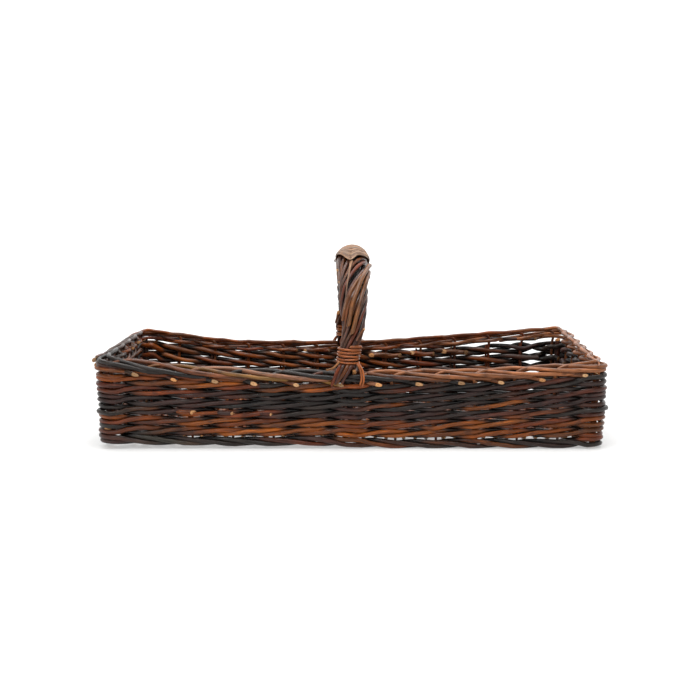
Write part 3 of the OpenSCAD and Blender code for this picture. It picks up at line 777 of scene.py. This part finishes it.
def border_colour(k, r):
    k = k % 36
    if k in (34, 35):
        return shade(r, BLACK2, BLACK, GREEN, spread=0.08)
    if k == 0:
        return (120, 70, 46), (132, 82, 58)
    if k in (30, 31, 32, 33):
        return shade(r, (84, 61, 47), PURPLE2, (64, 49, 40))
    if k == 1:
        return (126, 78, 50), TAN
    if k == 2:
        return (170, 124, 98), (160, 112, 88)
    if k in (3, 4):
        return BLACK2, BLACK
    if k == 5:
        return PURPLE2, BROWN
    if k < 18:
        return shade(r, (180, 119, 85), (198, 134, 98), (150, 97, 68))
    return shade(r, BROWN, (132, 80, 52), RED2, ORANGE)


def stake_rod(piece, k):
    r = rng_of(1200, k)
    v = k % 36
    z1 = float(weave_top(k))
    end_wall = 12 < v < 18 or v > 30
    m = (v - 33 if v > 30 else v - 15) if end_wall else 0
    du = -0.14 if m == 0 else m * 0.065 if abs(m) == 1 else 0
    sh = side_shift(k)
    lean = r.normal(0, 0.02)
    if is_corner(k) or is_bow(k):
        c = [[k + sh, 0, 19.0], [k + sh, 0, 30.0]]
    elif end_wall:
        c = [[k + du, -46, BASE_Z], [k + du, -12, BASE_Z], [k + du * 0.3, -2.6, BASE_Z + 0.6], [k, -0.2, BASE_Z + 5]]
    else:
        c = [[k, -15, BASE_Z], [k, -3, BASE_Z + 0.2], [k, -0.4, BASE_Z + 3.4]]
    for z in np.linspace(30, z1 - 4, 3)[(1 if len(c) == 2 else 0):]:
        c.append([k + lean + (sh if len(c) == 2 or is_corner(k) or is_bow(k) else 0), r.normal(0, 0.15), z])
    c = [[a, b, d, 1.85] for a, b, d in c]
    jv, jn = r.normal(0, 0.5), r.normal(0, 0.35)
    big = r.uniform(2.15, 2.5) if v not in (34, 35, 0, 2) else 2.65
    end_u, end_n, end_z = r.normal(0, 0.05), r.uniform(-1.0, 0.8), r.normal(0, 0.45)
    for i, (du_, n, dz) in enumerate(BORDER):
        u = k + du_ + (sh if du_ < 0.3 else 0)
        w = n * BORDER_K
        t = min(1.0, i / 3.0)
        rr = 1.85 + (big - 1.85) * t
        if i > 12:
            rr = big * (1 - 0.10 * (i - 12) / 5)
        if i > 15:
            u += end_u * (i - 15) / 2
            w += (end_n + (2.6 if v in (8, 9, 31, 32) else 0)) * (i - 15) / 2
            dz += end_z * (i - 15) / 2
        top = float(weave_top(u)) + float(border_share(u)) * float(rim_extra(u))
        extra = (jv * 0.8 * math.sin(min(du_, 4) / 4 * math.pi) + 0.18 * r.normal()) if 0.3 < du_ < 4.3 else 0
        c.append([u, w + swell(u, w) + (jn if 1.2 < du_ < 3.6 else 0), top + dz * BORDER_V + extra, rr])
    wall_rod(piece, c, None, border_colour(k, r), 1300 + k, step=2.6, sides=10, wob=0.16, cuts=(0, 1),
             slope=(0, r.uniform(1.0, 2.7)), face_out=1, pale=(1, r.choice([0.45, 0.7, 0.95, 1.1])), buds=80)


for wall, k0, k1 in (("front", 0, 11), ("right", 12, 17), ("back", 18, 29), ("left", 30, 35)):
    pc = Piece("stakes_and_border_" + wall)
    for k in range(k0, k1 + 1):
        stake_rod(pc, k)
    if wall == "left":
        # the last border rods stand out past the corner, with their cut ends to the front
        for i, (n1, dz, rr, cc) in enumerate(((13.5, 8.6, 2.7, BLACK2), (11.0, 3.4, 2.4, GREEN), (9.5, 13.0, 1.9, RED2), (7.5, -0.6, 2.2, BROWN))):
            r = rng_of(1600, i)
            c = []
            for u, t in ((-3.3, 0.0), (-2.7, 0.1), (-2.0, 0.3), (-1.3, 0.55), (-0.75, 0.85), (-0.42 + 0.05 * i, 1.0)):
                c.append([u, 4.2 + (n1 - 4.2) * t, float(weave_top(u)) + 6.0 + (dz - 6.0) * t, rr * (0.85 + 0.15 * t)])
            wall_rod(pc, c, None, shade(r, cc, BLACK2, spread=0.06), 1600 + i, step=2.6, sides=10, wob=0.15, cuts=(0, 1),
                     slope=(0, 0.9), pale=(1, (0.35, 0.6, 0.3, 0.9)[i]), buds=60)
    pc.make(MATS, ["stakes_and_border_" + wall])
    pc = Piece("bye_stakes_" + wall)
    for k in range(k0, k1 + 1):
        if is_corner(k):
            continue
        r = rng_of(1500, k)
        u = k + (-0.2 if is_bow(k) else 0.075)
        c = [[u, 0, 0.9 + float(foot_rise(u)), 1.5], [u, 0, 20, 1.5], [u + r.normal(0, 0.01), r.normal(0, 0.2), 45, 1.5],
             [u + r.normal(0, 0.015), 0, float(weave_top(u)) + r.uniform(-1, 2), 1.35]]
        wall_rod(pc, c, None, shade(r, (112, 78, 68), PURPLE2, RED2), 1500 + k, wob=0.15)
    pc.make(MATS, ["bye_stakes_" + wall])

# =====================================================================================
# base: long sticks, and thin rods woven across them from front to back
# =====================================================================================
STICK_Y = [-84.6, -42.3, 0.0, 42.3, 84.6]
pc = Piece("base_inner_sticks")
for i, y in enumerate(STICK_Y):
    r = rng_of(1700, i)
    x = np.linspace(-272, 272, 150)
    p = np.stack([x, np.full_like(x, y), np.full_like(x, BASE_Z)], axis=1)
    pc.rod(p, np.linspace(4.1, 3.8, 150) if i % 2 else np.linspace(3.8, 4.1, 150), shade(r, BROWN, ORANGE, RED2),
           1700 + i, sides=12, wob=0.25, wave=120, buds=110)
pc.make([STICK, CUT], ["base_inner_sticks"])
for side, s in (("front", -1), ("back", 1)):
    pc = Piece("base_edge_stick_" + side)
    r = rng_of(1710, s + 1)
    x = np.linspace(-272, 272, 150)
    p = np.stack([x, np.full_like(x, s * 127.0), np.full_like(x, BASE_Z)], axis=1)
    pc.rod(p, 4.45, shade(r, BROWN, ORANGE, RED2), 1710 + s, sides=14, wob=0.12, wave=140, buds=120)
    pc.make([STICK, CUT], ["base_edge_stick_" + side])

weaver_x = [(k - 6 + i / 7) * UNIT_LONG for k in range(12) for i in range(1, 7) if abs((k - 6 + i / 7) * UNIT_LONG) < 266]
for par, name in ((0, "base_weavers_over"), (1, "base_weavers_under")):
    pc = Piece(name)
    sgn = 1 if par == 0 else -1
    ys = [-127.0] + STICK_Y + [127.0]
    for i, x in enumerate(weaver_x):
        if i % 2 != par:
            continue
        r = rng_of(1800, i)
        rad = r.uniform(2.15, 2.6)
        jx = r.normal(0, 0.25)
        c = [[x + jx, -132.6, BASE_Z + sgn * 4.6], [x + jx, -130.6, BASE_Z + sgn * 5.9]]
        for q, y in enumerate(ys):
            h = 4.0 + rad * 1.24 + 0.15 if 0 < q < 6 else 4.5 + rad + 0.15
            c.append([x + jx + r.normal(0, 0.25), y, BASE_Z + sgn * (1 if q % 2 == 0 else -1) * h])
        c += [[x + jx, 130.6, BASE_Z + sgn * 5.9], [x + jx, 132.6, BASE_Z + sgn * 4.6]]
        c = np.array(c)
        if r.random() < 0.5:
            rr = np.linspace(rad * 1.04, rad * 0.9, len(c))
        else:
            rr = np.linspace(rad * 0.9, rad * 1.04, len(c))
        rr = rr * np.interp(np.abs(c[:, 1]), [0, 100, 127], [1.24, 1.24, 1.0])
        q = smooth(np.concatenate([c, rr[:, None]], axis=1), 3.2)
        pc.rod(q[:, :3], q[:, 3], shade(r, ORANGE, ORANGE2, BROWN, RED2, spread=0.18), 1800 + i, sides=8, wob=0.2)
    # one more rod in line with each stake, tucked in between the edge sticks
    for k in range(1, 12):
        if k % 2 != par:
            continue
        r = rng_of(1890, k)
        rad = r.uniform(2.5, 2.8)
        x = (k - 6) * UNIT_LONG + r.normal(0, 0.3)
        c = [[x, -119.5, BASE_Z - sgn * 0.6, rad * 0.9]]
        for q, y in enumerate(STICK_Y):
            c.append([x + r.normal(0, 0.25), y, BASE_Z + sgn * (-1 if q % 2 == 0 else 1) * (4.0 + rad + 0.15), rad])
        c.append([x, 119.5, BASE_Z - sgn * 0.6, rad * 0.9])
        q = smooth(c, 3.2)
        pc.rod(q[:, :3], q[:, 3], shade(r, ORANGE, BROWN, RED2, spread=0.18), 1890 + k, sides=8, wob=0.2)
    pc.make(MATS, [name])

# =====================================================================================
# handle
# =====================================================================================
BOW_R, BOW_Z = 140.0, 70.4
ROPE_N, ROPE_TWIST = 12, 4.0


def handle_x(y, z):
    """The bow leans a little: its crest stands to the right of its feet."""
    z = np.asarray(z, float)
    t = np.clip((np.asarray(y, float) + 150) / 300, 0, 1)
    front = np.interp(z, [84, 104, 120, 138, 190, 214, 232], [-4.6, -4.2, -1.6, 3.2, 3.8, 4.8, 5.4])
    back = np.interp(z, [84, 130, 190, 232], [-8.5, -7.2, -2.0, 5.2])
    return front * (1 - t) + back * t


def on_bow(g, q, f):
    """g degrees from the crest (front is minus), q mm from the bow's middle, f degrees round it."""
    g, q, f = (np.asarray(a, float) for a in (g, q, f))
    gr, fr = np.radians(g), np.radians(f)
    rad = BOW_R + q * np.cos(fr)
    y, z = rad * np.sin(gr), BOW_Z + rad * np.cos(gr)
    return np.stack(np.broadcast_arrays(q * np.sin(fr) + handle_x(y, z), y, z), axis=-1)


def leg_y(z):
    return HALF_DEP + FLARE * (z - 40)


# the bow itself, a stout rod whose ends are pointed and pushed down into the walls
pc = Piece("handle_bow")
legs = [(91, 4.9), (66, 4.7), (44, 3.7), (22, 2.6)]
pts = [[handle_x(-leg_y(z), z), -leg_y(z), z, r] for z, r in reversed(legs)]
pts += [list(on_bow(g, 0, 0)) + [float(np.interp(abs(g), [0, 50, 60, 68, 76], [8.6, 8.4, 7.0, 6.0, 5.6]))] for g in range(-76, 77, 8)]
pts += [[handle_x(leg_y(z), z), leg_y(z), z, r] for z, r in legs]
for q in pts[:4] + pts[-4:]:
    q[0] *= max(0.0, min(1.0, (q[2] - 20) / 60)) if abs(q[0]) > 2.2 else 1
q = smooth(pts, 3.0)
# the bow is a real rod, but its bark is made near-black so that where it shows between the roping rods it also stands
# for shade: partly painted shade
pc.rod(q[:, :3], q[:, 3], ((34, 22, 17), (28, 18, 14)), 2000, sides=16, wob=0.2, wave=120, buds=60)
pc.make([STICK, CUT], ["handle_bow"])


def rope_q(g):
    """The roping swells below the grip and is drawn in at the ties."""
    a = np.abs(np.asarray(g, float))
    return np.interp(a, [0, 18, 30, 40, 50, 58, 64, 70, 74, 77, 80], [12.9, 13.0, 14.4, 15.6, 13.8, 10.9, 9.9, 9.3, 9.0, 9.1, 9.8])


def grip_bulge(f, g):
    """The grip isn't round: its rods make a shoulder at the upper left."""
    f = np.mod(np.asarray(f, float) + 180.0, 360.0) - 180.0
    q = np.interp(f, [-180, -120, -92, -74, -58, -42, -22, 0, 22, 45, 65, 90, 120, 180],
                  [-0.6, 0.0, 3.2, 6.2, 8.6, 8.8, 7.4, 5.4, 3.6, 2.2, 1.4, 0.6, 0.0, -0.6])
    w = np.clip((40.0 - np.abs(np.asarray(g, float) - 4.0)) / 26.0, 0, 1)
    return q * w * w * (3 - 2 * w)


def bow_depth(p):
    """How far points stand from the bow's middle line, and the directions away from it, with the limits and darkness of
    the painted shade between the roping rods.
    """
    y, z = p[:, 1], p[:, 2] - BOW_Z
    rad = np.maximum(np.hypot(y, z), 1.0)
    along = np.stack([np.zeros_like(y), y / rad, z / rad], axis=1)
    mid = np.stack([handle_x(y, p[:, 2]), y / rad * BOW_R, z / rad * BOW_R + BOW_Z], axis=1)
    d = p - mid
    dist = np.linalg.norm(d, axis=1)
    o = np.where((z > 4.0)[:, None], d / np.maximum(dist, 1e-6)[:, None], along)
    c = np.where(z > 4.0, dist - rope_q(np.degrees(np.arctan2(y, z))), 3.0)
    return c + 6.0, o, 5.6, 8.6, 0.04


def fan_point(x, y, z):
    return [x + float(handle_x(y, z)), y, z]


pc = Piece("handle_roping_rods")
for i in range(ROPE_N):
    r = rng_of(2100, i)
    f0 = i * 360 / ROPE_N + r.uniform(-4, 4)
    gs = np.arange(-80, 80.1, 4.0)
    ff = (f0 - 80 * ROPE_TWIST + 180) % 360 - 180
    fb = (f0 + 80 * ROPE_TWIST + 180) % 360 - 180
    base = r.uniform(2.1, 2.6)
    grow = r.choice([-1, 1])
    dq = r.normal(0, 0.35)
    rows = []
    ends = [1, 1]
    for s, f_end in ((-1, ff), (1, fb)):
        tail = []
        x0 = rope_q(80) * math.sin(math.radians(f_end)) * (1 if s < 0 else -1)
        if abs(f_end) < 62:
            jx, jz = r.uniform(-1.5, 1.5), r.uniform(-2.5, 3.5)
            for dx, y, z, rr in ((-2.2, 153.6, 98.5, 2.15), (-5.6, 157.4, 92.5, 2.05), (-9.0, 158.0, 86.5 + jz * 0.5, 1.95), (-13.0 + jx, 155.6 + r.uniform(-1, 1.2), 79.0 + jz, 1.75)):
                xx = (x0 * (0.95 if z > 92 else 0.85) + dx) * (1 if s < 0 else -1)
                tail.append(fan_point(xx, s * y, z) + [rr])
        else:
            x1 = x0 * 0.8
            yy = 150 + rope_q(80) * math.cos(math.radians(f_end))
            ends[0 if s < 0 else 1] = 1
            tail.append(fan_point(x1 * (1 if s < 0 else -1), s * (yy - 1.0), 91 + r.uniform(-2, 2)) + [2.1])
        rows.append(tail)
    mid = []
    for g in gs:
        t = (g + 80) / 160
        rr = base * (1 + 0.10 * grow * (t - 0.5))
        wv = 2.2 * math.sin(g / 9 + i) * (1 if abs(g) < 66 else 0.2)
        fv = f0 + g * ROPE_TWIST + wv
        qv = rope_q(g) + (dq if 34 < abs(g) < 66 else 0) + 0.97 * float(grip_bulge(fv, g))
        mid.append(list(on_bow(g, qv, fv)) + [rr * (0.88 if abs(g) > 69 else 1.0)])
    c = list(reversed(rows[0])) + mid + rows[1]
    q = smooth(c, 2.8)
    fam = i % 5
    col = (shade(r, (92, 54, 43), (80, 48, 40)) if fam == 0 else shade(r, (134, 80, 50), (118, 72, 47)) if fam in (1, 3)
           else shade(r, (112, 74, 60), (136, 92, 72)) if fam == 2 else shade(r, (132, 63, 35), (152, 78, 40)))
    # the roping rods' bark is darkened with painted shade where it lies deep in the roping
    pc.rod(q[:, :3], q[:, 3], col, 2100 + i, sides=10, wob=0.25, wave=90, slope=(0.9, 0.9), buds=75,
           deep=bow_depth(q[:, :3]))

# short rods laid in beside them, whose cut ends stand out a little
SHORT = [  # g0, g1, f at g0, f at g1, distance over the roping at g0 and at g1, radius
    (-61, -15.5, -28, 78, 2.2, 5.6, 2.55), (-65, -22, -6, 84, 2.2, 4.0, 2.5),
    (-57, -33, -66, 34, 2.0, 1.6, 2.0),
    (-24, 14, -118, -40, 3.6, 9.6, 2.2), (-30, 12, -96, -66, 1.6, 11.0, 2.0), (-16, 16, -96, -74, 6.2, 10.4, 2.1),
    (-68, -62.5, 26, 50, 2.8, 4.6, 1.3),
    (36, 62, -40, 64, 1.8, 2.6, 2.2), (30, 52, 70, 158, 1.8, 2.2, 2.2), (60, 69, -120, -84, 3.0, 3.6, 2.3),
    (44, 71, 150, 258, 1.8, 2.8, 2.2), (-66, -52, 150, 206, 2.6, 2.4, 2.1)]
for i, (g0, g1, f0, f1, q0, q1, rr) in enumerate(SHORT):
    r = rng_of(2300, i)
    c = []
    for k in range(9):
        t = k / 8
        lift_q = 0.9 * (2 * t - 1) ** 2 - 0.5 * (1 - (2 * t - 1) ** 2)
        g = g0 + (g1 - g0) * t
        c.append(list(on_bow(g, float(rope_q(g)) + q0 + (q1 - q0) * t + lift_q, f0 + (f1 - f0) * t)) + [rr * (1 + 0.1 * t)])
    q = smooth(c, 2.6)
    # these rods' bark is darkened with painted shade deep in the roping as well
    pc.rod(q[:, :3], q[:, 3], shade(r, (132, 86, 60), (112, 70, 50), RED2, BROWN2), 2300 + i, sides=10, wob=0.2, slope=(1.0, 0.8), buds=60,
           deep=bow_depth(q[:, :3]))
pc.make(MATS, ["handle_roping_rods"])

# the grip: a split willow skein wound turn beside turn, then twice across, and a tail
pc = Piece("handle_grip_wrap")
SK, SK2, SK3 = (176, 138, 112), (150, 112, 88), (196, 160, 132)


def skein(gs, fs, qs, width, seed, col, thick=0.30, sides=8):
    p = on_bow(gs, qs, fs)
    up = np.stack([np.zeros(len(gs)), np.cos(np.radians(gs)), -np.sin(np.radians(gs))], axis=-1)
    w = np.broadcast_to(np.asarray(width, float), (len(gs),))
    pc.rod(p, w, col, seed, sides=sides, flat=thick, up=up, buds=0, wob=0.15, wave=25, slope=(0.3, 0.3), turn=0.0)


n_turn = 26
f_all = np.arange(0, 360 * n_turn, 12.0)
tt = f_all / f_all[-1]
g_mid = 36.0 - tt * 34.0
tilt = np.interp(tt, [0, 0.2, 0.7, 1.0], [0.3, 1.0, 2.2, 4.0])
wav = np.zeros_like(tt)
rw = rng_of(2400)
for c_ in range(6):
    wav += rw.uniform(-0.16, 0.16) * np.sin(f_all / 360 * TAU * rw.uniform(0.05, 0.45) + rw.uniform(0, TAU))
g_all = g_mid - tilt * np.cos(np.radians(f_all - 5)) + wav
q_all = 16.6 + grip_bulge(f_all, g_all) + 0.25 * np.sin(f_all / 97.0)
cuts_ = [0, 7, 13, 20, n_turn]
for a_, b_ in zip(cuts_[:-1], cuts_[1:]):
    sel = (f_all >= a_ * 360 - 26) & (f_all <= b_ * 360)
    r = rng_of(2401, a_)
    skein(g_all[sel], f_all[sel], q_all[sel] + np.interp(f_all[sel], [f_all[sel][0], f_all[sel][0] + 60], [-0.5, 0]),
          r.uniform(2.0, 2.3), 2401 + a_, shade(r, SK, SK2, SK3, spread=0.14), thick=0.36)
# towards the front the skein is laid in slanting bands that meet in a point
n_band = 15
for i in range(n_band):
    t = np.linspace(0, 1, 60)
    r = rng_of(2450, i)
    k = i / (n_band - 1)
    e = 1 - k
    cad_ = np.array([-150, -104, -78, -60, -38, -14, 4, 24, 46, 68, 100, 150], float)
    gk_ = np.array([16, 10, 5.5 - 2.0 * k, -0.5 - 7.0 * k, -1.5 - 15.5 * k, -2.0 - 21.5 * k, -2.0 - 17.5 * k, -2.0 - 15.5 * k, -1.5 - 12.5 * k, 0.5 - 6.5 * k, 6, 14])
    ff_ = np.interp(t, np.linspace(0, 1, len(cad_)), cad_)
    c2_ = smooth(np.stack([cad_, gk_, np.zeros_like(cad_)], axis=1), 4.0)
    ff_, gg_ = c2_[:, 0], c2_[:, 1]
    gg_ = gg_ + 0.25 * np.sin(ff_ / 23.0 + r.uniform(0, TAU))
    skein(gg_, ff_, 17.0 + grip_bulge(ff_, gg_) + 0.09 * i + 0.15 * np.sin(ff_ / 17.0 + i),
          r.uniform(1.7, 2.3), 2450 + i, shade(r, SK, SK2, SK3, spread=0.16), thick=0.36)
# the tail of the skein runs down between the rods of the front leg
t = np.linspace(0, 1, 44)
gt = -23.5 - 29.5 * t
skein(gt, -14 - 26 * t, 18.8 - 1.6 * np.clip(t * 1.6, 0, 1), np.interp(t, [0, 0.12, 0.5, 1], [2.8, 1.7, 1.2, 0.7]), 2470, (SK, SK2), thick=0.4)
pc.make([SKEIN, CUT], ["handle_grip_wrap"])

# ties: one thin rod in five turns, its tail led down over the border
for name, s in (("front", 1), ("back", -1)):
    pc = Piece("handle_tie_" + name)
    r = rng_of(2500, s + 1)
    n = 5 * 30 + 8
    i = np.arange(n)
    f = i * 12.0
    gm = -69.6 - 7.6 * i / (n - 1) - 1.5 * np.cos(np.radians(f))
    tq = rope_q(gm) + 2.3 + 1.45 + 0.35 * np.sin(np.radians(2 * f + 40)) * 0.6
    P = on_bow(gm + 0.25 * np.sin(np.radians(f * 0.5)), tq, f)
    hx = handle_x(P[:, 1], P[:, 2])
    P[:, 0] -= hx
    tail = np.array([[12.6, -151.5, 101.0], [15.8, -155.2, 96.5], [18.0, -158.4, 90], [18.6, -159.0, 84], [17.0, -156.8, 76]])
    c = np.concatenate([P, tail])
    c[:, 0] *= s
    c[:, 1] *= s
    c[:, 0] += handle_x(c[:, 1], c[:, 2])
    q = smooth(c, 2.2)
    cc = shade(r, (214, 134, 94), (198, 120, 80), (224, 150, 108))
    pc.rod(q, np.interp(np.linspace(0, 1, len(q)), [0, 0.9, 1], [1.55, 1.3, 1.15]), cc, 2500 + s, sides=8, wob=0.12, wave=30, buds=60)
    # a second, thinner tail beside the first
    c2 = np.array([[10.5, -153.0, 101], [13.4, -156.6, 96.5], [15.4, -159.4, 90], [15.8, -159.8, 84], [14.2, -157.8, 78]])
    c2[:, 0] *= s
    c2[:, 1] *= s
    c2[:, 0] += handle_x(c2[:, 1], c2[:, 2])
    q = smooth(c2, 2.2)
    pc.rod(q, 1.1, cc, 2510 + s, sides=8, wob=0.1, buds=0)
    # a cut end of the tie at the left, bent out from under the turns
    c3 = np.array([[-10.0, -155.0, 104.5], [-13.0, -157.5, 101.0], [-17.0, -157.0, 97.0], [-24.0, -154.5, 94.5]])
    c3[:, 0] *= s
    c3[:, 1] *= s
    c3[:, 0] += handle_x(c3[:, 1], c3[:, 2])
    q = smooth(c3, 2.2)
    pc.rod(q, 1.25, (BROWN2, (176, 124, 84)), 2520 + s, sides=8, wob=0.1, buds=0, slope=(0.4, 1.2))
    pc.make(MATS, ["handle_tie_" + name])

# =====================================================================================
# floor and light
# =====================================================================================
m, nt, sh = new_mat("pale_floor")
geo = node(nt, "ShaderNodeTexCoord").outputs["Object"]
n1 = noise(nt, geo, (3.0, 3.0, 3.0), 2.0, 0.5)
c = mix_col(nt, "MIX", ramp(nt, n1, [(0.3, 0.0), (0.7, 1.0)]), (0.48, 0.48, 0.477), (0.51, 0.51, 0.507))
nt.links.new(c, sh.inputs["Base Color"])
sh.inputs["Roughness"].default_value = 0.6
sh.inputs["Specular IOR Level"].default_value = 0.3
# a lit table: it glows a little itself, so shadows on it are faint
sh.inputs["Emission Color"].default_value = (1.0, 1.0, 0.995, 1.0)
sh.inputs["Emission Strength"].default_value = 0.38
me = bpy.data.meshes.new("floor")
# a round floor that curves up far away into a wall, the same from every side
prof = [(0.5, 0.0), (1.2, 0.0), (2.4, 0.0)] + [(2.4 + 1.2 * math.sin(a), 1.2 - 1.2 * math.cos(a)) for a in np.linspace(0.1, math.pi / 2, 12)] + [(3.6, 2.3)]
RING = 72
vs = [(q * math.cos(TAU * i / RING), q * math.sin(TAU * i / RING), z) for q, z in prof for i in range(RING)] + [(0.0, 0.0, 0.0)]
fs = [(j * RING + i, j * RING + (i + 1) % RING, (j + 1) * RING + (i + 1) % RING, (j + 1) * RING + i) for j in range(len(prof) - 1) for i in range(RING)]
fs += [(i, (len(prof)) * RING, (i + 1) % RING) for i in range(RING)]
fs = [tuple(reversed(q)) for q in fs]
me.from_pydata(vs, [], fs)
me.polygons.foreach_set("use_smooth", [True] * len(fs))
me.materials.append(m)
floor = bpy.data.objects.new("floor", me)
bpy.context.scene.collection.objects.link(floor)

world = bpy.data.worlds.new("studio")
world.use_nodes = True
bg = world.node_tree.nodes["Background"]
bg.inputs[0].default_value = (1.0, 1.0, 1.0, 1.0)
bg.inputs[1].default_value = 0.21
bpy.context.scene.world = world


def area(name, loc, target, size, power, tone=(1, 1, 1)):
    d = bpy.data.lights.new(name, "AREA")
    d.shape = "RECTANGLE"
    d.size, d.size_y = size
    d.energy = power
    d.color = tone
    o = bpy.data.objects.new(name, d)
    o.location = loc
    o.rotation_euler = (Vector(target) - Vector(loc)).to_track_quat("-Z", "Y").to_euler()
    bpy.context.scene.collection.objects.link(o)


area("top_soft_box", (0.0, -0.25, 2.1), (0, 0, 0.05), (1.5, 0.8), 44)
area("key_soft_box", (-1.0, -1.5, 1.5), (0, 0, 0.05), (0.9, 0.7), 14)
area("fill_soft_box", (1.3, -1.4, 1.0), (0, 0, 0.05), (1.2, 0.8), 4)
area("back_soft_box", (0.1, 1.6, 1.9), (0, 0.5, 0.0), (2.4, 0.8), 18)
area("wall_soft_box", (0.0, 2.0, 2.6), (0, 3.5, 0.7), (4.4, 1.0), 110)

scene = bpy.context.scene
scene.view_settings.view_transform = "Standard"
scene.view_settings.look = "None"
